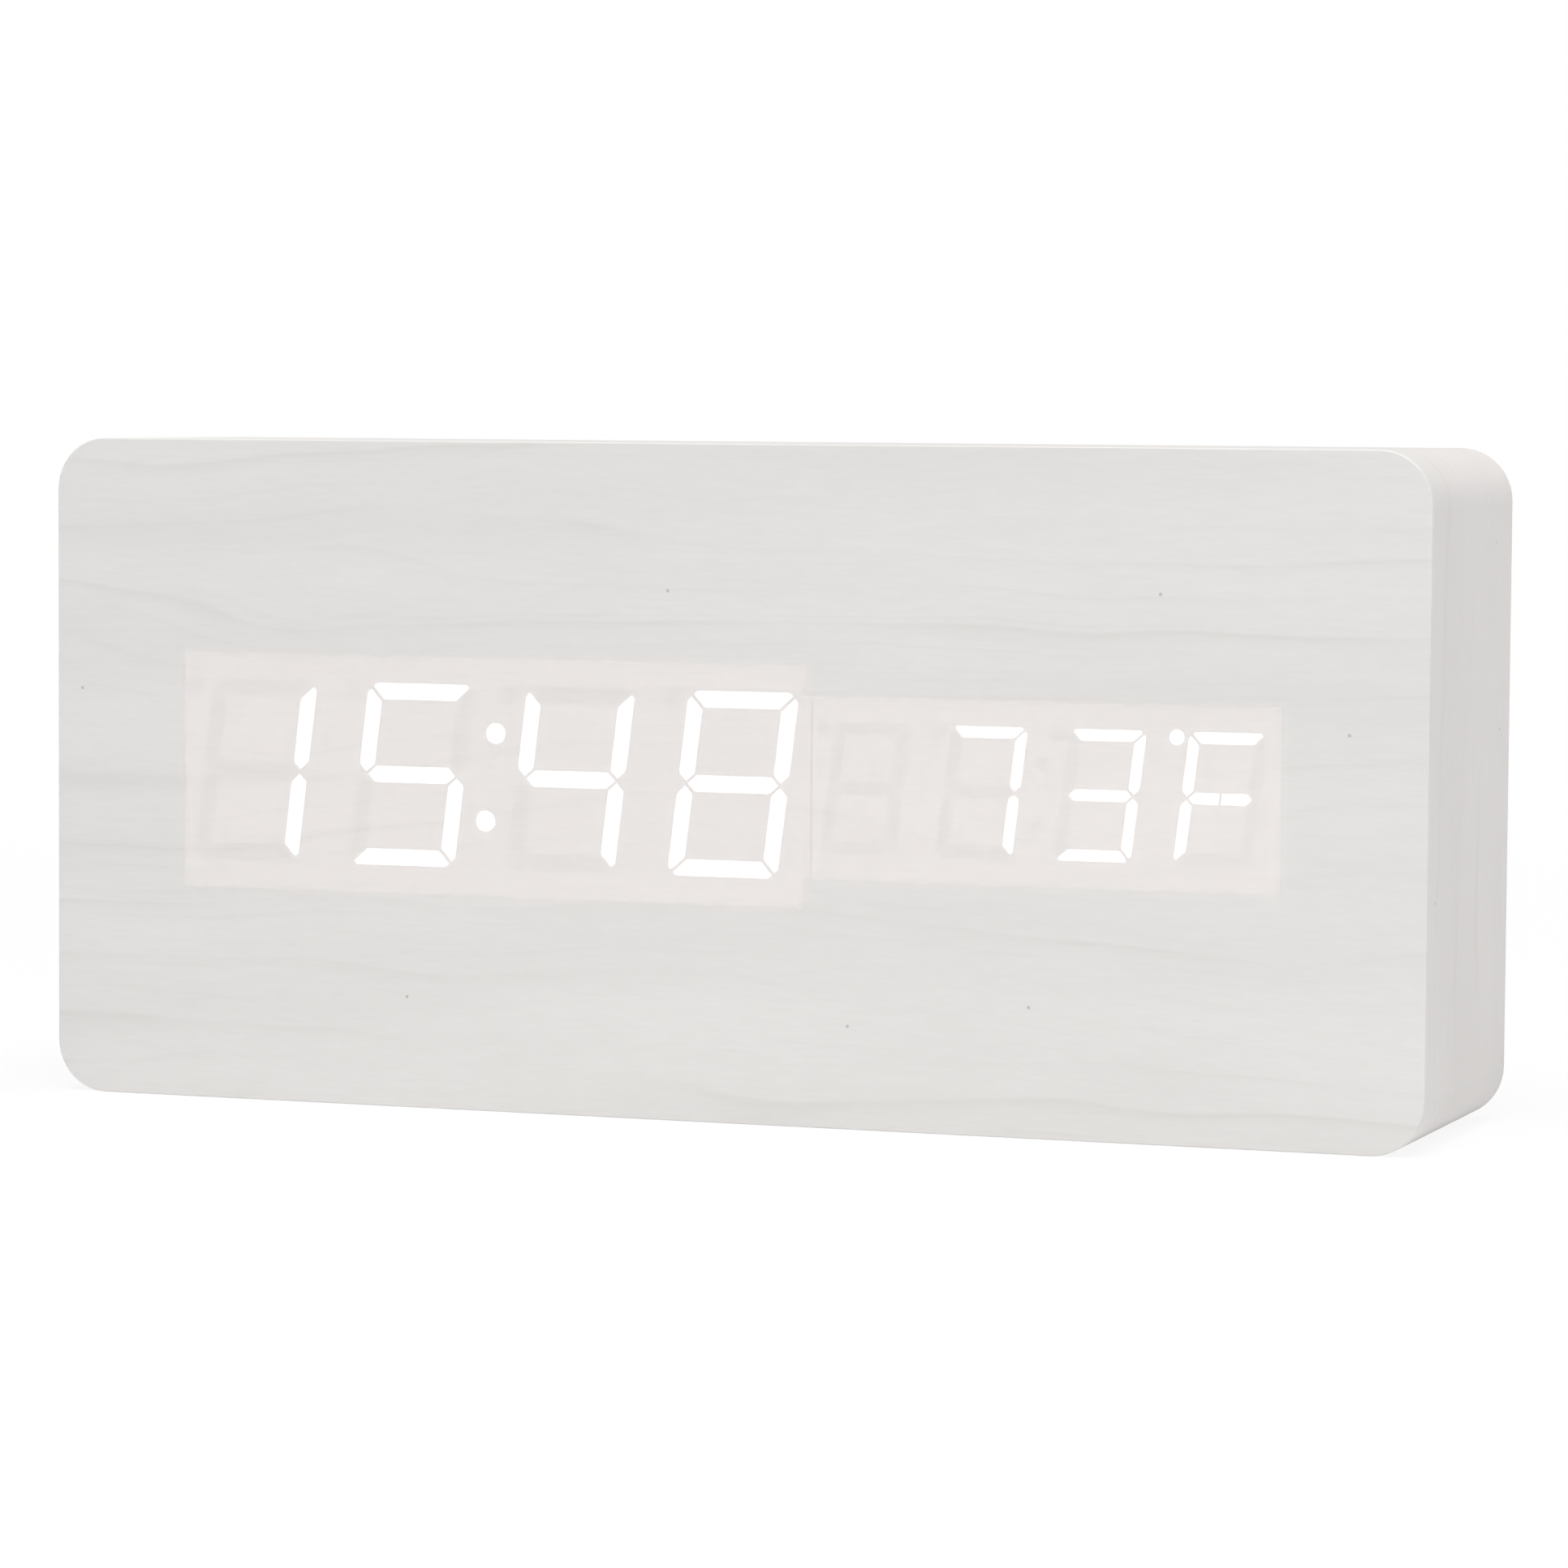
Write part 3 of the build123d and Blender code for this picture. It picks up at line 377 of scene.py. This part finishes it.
def ribbon_pvc():
    """Grey PVC flat cable: a rounded ridge over each wire, and a red wire at one edge. The grey is
    painted lighter on the crests and darker in the grooves: painted highlight and shade.
    """
    material, tree = new_material("grey_ribbon_pvc")
    low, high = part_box("ribbon_cable")
    pitch = (high.z - low.z) / RIBBON_WIRES
    across = add(tree, "Math", {0: place_axes(tree)["Z"], 1: low.z}, operation="SUBTRACT")
    count = add(tree, "Math", {0: across, 1: 1 / pitch}, operation="MULTIPLY")
    ridge = add(tree, "Math", {0: count, 1: 0.5}, operation="PINGPONG")
    ridge = add(tree, "MapRange", {"Value": ridge, "From Max": 0.3}, interpolation_type="SMOOTHSTEP")
    # Painted highlight and shade: the grey is lighter on each ridge's crest and darker in the grooves
    # between wires
    ridge_shaded_grey = add(tree, "Mix", {0: ridge, 6: srgb("#8E9092"), 7: srgb("#B4B6B7")}, data_type="RGBA")
    first = add(tree, "Math", {0: count, 1: 1.0}, operation="LESS_THAN")
    tone = add(tree, "Mix", {0: first, 6: ridge_shaded_grey, 7: srgb("#A8322C")}, data_type="RGBA")
    relief = add(tree, "Bump", {"Height": ridge, "Strength": 0.8, "Distance": 0.15 * MM})
    finish = {"Base Color": tone, "Roughness": 0.45, "IOR": 1.53, "Normal": relief}
    shader = add(tree, "BsdfPrincipled", finish)
    add(tree, "OutputMaterial", {"Surface": shader})
    return material


def cell_sleeve(low, high, positive_right):
    """Shrink-wrapped label of a dry cell: slate film with a pale band at the positive end."""
    material, tree = new_material("cell_sleeve")
    along = place_axes(tree)["X"]
    if positive_right:
        edge = high.x - LABEL_BAND_MM * MM
        band = add(tree, "Math", {0: along, 1: edge}, operation="GREATER_THAN")
    else:
        edge = low.x + LABEL_BAND_MM * MM
        band = add(tree, "Math", {0: along, 1: edge}, operation="LESS_THAN")
    cloud = add(tree, "TexNoise", {"Vector": stretched(tree, 9.0, 3.0, 3.0), "Scale": 1.0})
    film = add(tree, "Mix", {0: cloud, 6: srgb("#55616B"), 7: srgb("#4D5963")}, data_type="RGBA")
    tone = add(tree, "Mix", {0: band, 6: film, 7: srgb("#C4C8CA")}, data_type="RGBA")
    crinkle = add(tree, "TexNoise", {"Vector": stretched(tree, 6.0, 1.5, 1.5), "Scale": 1.0})
    relief = add(tree, "Bump", {"Height": crinkle, "Strength": 0.15, "Distance": 0.1 * MM})
    dull = {"Value": crinkle, "From Min": 0.2, "From Max": 0.8, "To Min": 0.2, "To Max": 0.32}
    finish = {"Base Color": tone, "Roughness": add(tree, "MapRange", dull), "Normal": relief}
    shader = add(tree, "BsdfPrincipled", finish)
    add(tree, "OutputMaterial", {"Surface": shader})
    return material


def solids_of(mesh):
    """The mesh's separate solids, as lists of polygons that touch at corners."""
    owner = {}

    def find(key):
        while owner[key] != key:
            owner[key] = owner[owner[key]]
            key = owner[key]
        return key

    def corner(index):
        return tuple(round(c, 6) for c in mesh.vertices[index].co)

    for polygon in mesh.polygons:
        keys = [corner(i) for i in polygon.vertices]
        for key in keys:
            owner.setdefault(key, key)
        for key in keys[1:]:
            owner[find(key)] = find(keys[0])
    groups = {}
    for polygon in mesh.polygons:
        groups.setdefault(find(corner(polygon.vertices[0])), []).append(polygon)
    return list(groups.values())


def box_of(mesh, polygons):
    """Low and high corners of some of a mesh's polygons."""
    corners = [mesh.vertices[i].co for polygon in polygons for i in polygon.vertices]
    low = Vector(min(c[i] for c in corners) for i in range(3))
    high = Vector(max(c[i] for c in corners) for i in range(3))
    return low, high


def bar_letter(offset, half_width, half_height):
    """Which bar of a digit lies at an offset from its middle, once the lean is taken out."""
    x = (offset.x - SLANT * offset.z) / half_width
    z = offset.z / half_height
    if abs(x) < 0.6:
        return "a" if z > 0.5 else "d" if z < -0.5 else "g"
    if x > 0:
        return "b" if z > 0 else "c"
    return "f" if z > 0 else "e"


def light_up(name, is_lit, dark_material, lit_material):
    """Gives each solid of a display node the lit or the dark material."""
    mesh = nodes[name].data
    dress(dark_material, name)
    mesh.materials.append(lit_material)
    for polygons in solids_of(mesh):
        low, high = box_of(mesh, polygons)
        if is_lit((low + high) / 2):
            for polygon in polygons:
                polygon.material_index = 1


def light_digits(dark_material, lit_material):
    """Lights the bars and dots that the displays read."""
    for name, letters in LIT_BARS.items():
        low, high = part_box(name)
        middle = (low + high) / 2
        half_height = (high.z - low.z) / 2
        half_width = (high.x - low.x) / 2 - SLANT * half_height

        def is_lit(place):
            return bar_letter(place - middle, half_width, half_height) in letters

        light_up(name, is_lit, dark_material, lit_material)
    for name, which in LIT_DOTS.items():
        low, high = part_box(name)

        def is_lit(place):
            return which == "all" or which == "last" and place.x > high.x - 2 * MM

        light_up(name, is_lit, dark_material, lit_material)


# Half section of an AAA cell from its flat base to its nub: distance along, radius and whether
# the next stretch is sleeve. Millimetres.
CELL_PROFILE = [
    (0.0, 0.0, False),
    (0.0, 3.7, False),
    (0.12, 4.0, False),
    (0.3, 4.2, False),
    (0.3, 4.5, True),
    (0.06, 4.72, True),
    (0.12, 4.98, True),
    (0.4, 5.15, True),
    (42.9, 5.15, True),
    (43.2, 5.0, True),
    (43.3, 4.75, True),
    (43.1, 4.5, False),
    (42.95, 4.3, False),
    (42.95, 2.5, False),
    (43.1, 2.15, False),
    (43.35, 1.9, False),
    (44.2, 1.9, False),
    (44.43, 1.75, False),
    (44.5, 1.5, False),
    (44.5, 0.0, False),
]
CELL_TURNS = 64


def turned_cell(name, start, run, axis_place):
    """Mesh of a dry cell turned about X from its base at start, its sleeve in the second slot."""
    vertices, faces, sleeve = [], [], []
    for along, radius, _ in CELL_PROFILE:
        for step in range(CELL_TURNS):
            angle = 2 * pi * step / CELL_TURNS
            x = start + run * along * MM
            y = axis_place.y + radius * MM * cos(angle)
            vertices.append((x, y, axis_place.z + radius * MM * sin(angle)))
    for row, (_, _, is_sleeve) in enumerate(CELL_PROFILE[:-1]):
        ring, above = row * CELL_TURNS, (row + 1) * CELL_TURNS
        for step in range(CELL_TURNS):
            ahead = (step + 1) % CELL_TURNS
            faces.append((ring + step, ring + ahead, above + ahead, above + step))
            sleeve.append(is_sleeve)
    shape = bpy.data.meshes.new(name)
    shape.from_pydata(vertices, [], faces)
    for polygon, is_sleeve in zip(shape.polygons, sleeve):
        polygon.material_index = 1 if is_sleeve else 0
        polygon.use_smooth = True
    joined = bmesh.new()
    joined.from_mesh(shape)
    bmesh.ops.remove_doubles(joined, verts=joined.verts, dist=0.001 * MM)
    bmesh.ops.recalc_face_normals(joined, faces=joined.faces)
    joined.to_mesh(shape)
    joined.free()
    shape.set_sharp_from_angle(angle=radians(50))
    return shape


def make_cells(steel):
    """Three dry cells with rolled sleeve edges, in place of the plain cylinders."""
    mesh = nodes["aaa_cells"].data
    boxes = [box_of(mesh, polygons) for polygons in solids_of(mesh)]
    for number, (low, high) in enumerate(sorted(boxes, key=lambda box: box[0].z), 1):
        middle = (low + high) / 2
        right_end = [
            v.co for v in mesh.vertices if v.co.x > high.x - 0.01 * MM and low.z <= v.co.z <= high.z
        ]
        positive_right = max(abs(c.z - middle.z) for c in right_end) < 3 * MM
        start, run = (low.x, 1) if positive_right else (high.x, -1)
        shape = turned_cell(f"aaa_cell_{number}", start, run, middle)
        shape.materials.append(steel)
        shape.materials.append(cell_sleeve(low, high, positive_right))
        cell = bpy.data.objects.new(f"aaa_cell_{number}", shape)
        bpy.context.scene.collection.objects.link(cell)
        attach(cell, "case")
        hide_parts("aaa_cells")


def dress_case():
    """White veneer outside, raw fibreboard inside."""
    face_tones = ("#E8E6E4", "#E4E2E0", "#CFCCC9")
    strip_tones = ("#E8E5E3", "#E5E2E0", "#D0CBC8")
    dress(white_veneer("white_veneer_front", "Z", face_tones, 0.26, display_windows()), "front_veneer")
    dress_faces("front_veneer", clear_glue(), lambda face: face.normal.y > 0.9)
    dress(white_veneer("white_veneer_rear", "Z", face_tones, 0.26), "rear_veneer")
    dress(white_veneer("white_veneer_strip", "Y", strip_tones, 0.22), "edge_veneer")
    dress(gritty("raw_mdf", "#A98C66", "#9A7E5A", 0.85, 0.4, 0.4), "case_body")


def dress_displays():
    """White blocks with lit and unlit bars. The lit bars shine; the blocks and the unlit bars glow
    faintly with painted light, though nothing in them is lit.
    """
    # Painted glow: the block's faint emission stands in for light the lamps don't give it
    block = led_plastic("led_block_white_painted_glow", "#EEE7E5", "#EBE3E0", "#FFF4EA", 0.1)
    dress(block, "time_display_housing", "temp_display_housing")
    # Painted glow on the unlit bars too, fainter than the block's
    dark = led_plastic("diffuser_dark_painted_glow", "#E5E2E0", "#E2DFDD", "#FFF3ED", 0.056)
    lit = led_plastic("diffuser_lit", "#FFFFFF", "#FAFAFA", "#FFFFFF", 0.88)
    light_digits(dark, lit)


def dress_inside():
    """Boards, what is on them, wires, contacts and cells."""
    dress(solder_mask(), "display_board", "key_board")
    black = gritty("black_abs", "#1D1D1E", "#171718", 0.45, 0.3, 0.3)
    dress(black, "buzzer", "power_jack", "switch_bodies")
    dress(black, "mode_switch_plunger", "up_switch_plunger", "down_switch_plunger")
    dress(gritty("chip_epoxy", "#28282A", "#232325", 0.6, 0.15, 0.3), "control_chip")
    dress(gritty("bead_epoxy", "#161617", "#121213", 0.22, 1.0, 0.1), "thermistor")
    ivory = gritty("ivory_nylon", "#D9D4C2", "#D2CCB9", 0.5, 0.4, 0.2)
    dress(ivory, "display_ribbon_socket", "key_ribbon_socket")
    dress(ribbon_pvc(), "ribbon_cable")
    steel = plated_metal("nickel_plated_steel", "#C9C8C4", "#AFAEAA", 0.28, 0.3)
    dress(steel, "display_board_screws", "key_board_screws", "panel_screws", "display_pins")
    dress(steel, "clock_crystal", "microphone", "negative_terminal", "positive_terminal", "cell_links")
    felt = gritty("black_felt", "#1A1A1B", "#141415", 0.9, 0.2, 0.9)
    dress_faces("microphone", felt, lambda face: face.normal.y > 0.9)
    dress(plated_metal("brass_pin", "#D8B878", "#C2A062", 0.25, 0.3), "power_jack_pin")
    dress(gritty("red_pvc", "#A81C18", "#9A1815", 0.4, 0.5, 0.1), "positive_lead")
    dress(gritty("black_pvc", "#181818", "#131313", 0.4, 0.5, 0.1), "negative_lead")
    make_cells(plated_metal("cell_end_steel", "#D2D1CE", "#BDBCB9", 0.22, 0.5))


def dress_rear():
    """White rear panel and door, and smoother buttons with grey paint in their marks."""
    grained = gritty("white_abs", "#E7E6E4", "#E3E2E0", 0.45, 0.35, 0.5)
    dress(grained, "back_panel", "battery_door")
    smooth = gritty("white_abs_smooth", "#E5E4E2", "#E1E0DE", 0.35, 0.5, 0.1)
    paint = gritty("grey_mark_paint", "#4A4B4D", "#434446", 0.5, 0.3, 0.2)
    for name in ("mode_button", "up_button", "down_button"):
        dress(smooth, name)
        crown = max(vertex.co.y for vertex in nodes[name].data.vertices)

        def in_mark(face):
            return face.normal.y > 0.9 and 0.15 * MM < crown - face.center.y < 0.35 * MM

        dress_faces(name, paint, in_mark)


def photograph_camera():
    """The camera at the photograph's angle."""
    scene = bpy.context.scene
    camera = bpy.data.objects.new("camera", bpy.data.cameras.new("camera"))
    scene.collection.objects.link(camera)
    away = Vector((sin(CAMERA_YAW), -cos(CAMERA_YAW), 0))
    back = away * cos(CAMERA_PITCH) + Vector((0, 0, sin(CAMERA_PITCH)))
    right = Vector((cos(CAMERA_YAW), sin(CAMERA_YAW), 0))
    up = back.cross(right)
    rolled_right = right * cos(CAMERA_ROLL) + up * sin(CAMERA_ROLL)
    rolled_up = up * cos(CAMERA_ROLL) - right * sin(CAMERA_ROLL)
    turn = Matrix((rolled_right, rolled_up, back)).transposed().to_4x4()
    camera.matrix_world = Matrix.Translation(CAMERA_PLACE) @ turn
    camera.data.lens = CAMERA_LENS
    camera.data.clip_start = 0.01
    scene.camera = camera


def studio_floor():
    """Pale floor that keeps the clock's shadow near it and is seen as white further off."""
    mesh = bpy.data.meshes.new("floor")
    shape = bmesh.new()
    bmesh.ops.create_grid(shape, x_segments=1, y_segments=1, size=6.0)
    shape.to_mesh(mesh)
    shape.free()
    floor = bpy.data.objects.new("floor", mesh)
    floor.location.z = -0.02 * MM
    bpy.context.scene.collection.objects.link(floor)

    material, tree = new_material("pale_floor_paint")
    paint = add(tree, "BsdfDiffuse", {"Color": srgb("#F4F4F4")})
    white = add(tree, "Emission", {"Color": srgb("#FFFFFF"), "Strength": 1.0})
    path = add(tree, "LightPath").outputs
    rays = {0: path["Is Camera Ray"], 1: path["Is Glossy Ray"]}
    seen = add(tree, "Math", rays, operation="MAXIMUM")
    seen = add(tree, "Math", {0: seen, 1: path["Is Transmission Ray"]}, operation="MAXIMUM")
    place = add(tree, "TexCoord").outputs["Object"]
    reach = add(tree, "VectorMath", {0: place}, operation="LENGTH")
    near, far = SHADOW_FADE
    fade = {"Value": reach, "From Min": near, "From Max": far, "To Min": 0.9}
    white_share = add(tree, "MapRange", fade, interpolation_type="SMOOTHSTEP")
    white_share = add(tree, "Math", {0: seen, 1: white_share}, operation="MULTIPLY")
    top = add(tree, "MixShader", {0: white_share, 1: paint, 2: white})
    under = add(tree, "NewGeometry").outputs["Backfacing"]
    sheet = add(tree, "MixShader", {0: under, 1: top, 2: add(tree, "BsdfTransparent")})
    add(tree, "OutputMaterial", {"Surface": sheet})
    mesh.materials.append(material)


def studio_world():
    """Faint even light, seen as white."""
    world = bpy.data.worlds.new("studio")
    world.use_nodes = True
    tree = world.node_tree
    tree.nodes.clear()
    path = add(tree, "LightPath").outputs
    rays = {0: path["Is Camera Ray"], 1: path["Is Transmission Ray"]}
    seen = add(tree, "Math", rays, operation="MAXIMUM")
    strength = add(tree, "MapRange", {"Value": seen, "To Min": WORLD_LIGHT, "To Max": 1.0})
    sky = add(tree, "Background", {"Color": srgb("#FFFFFF"), "Strength": strength})
    add(tree, "OutputWorld", {"Surface": sky})
    bpy.context.scene.world = world


def studio_softboxes():
    """Round softboxes, each turned to the middle of the clock."""
    low, high = cad_box
    middle = (Vector(low) + Vector(high)) / 2
    for name, (place, size, power) in SOFTBOXES.items():
        lamp = bpy.data.lights.new(name, "AREA")
        lamp.shape = "DISK"
        lamp.size = size
        lamp.energy = power
        holder = bpy.data.objects.new(name, lamp)
        bpy.context.scene.collection.objects.link(holder)
        holder.location = place
        holder.rotation_euler = (middle - Vector(place)).to_track_quat("-Z", "Y").to_euler()


dress_case()
dress_displays()
dress_inside()
dress_rear()
bpy.context.scene.view_settings.view_transform = "Standard"
photograph_camera()
studio_floor()
studio_world()
studio_softboxes()
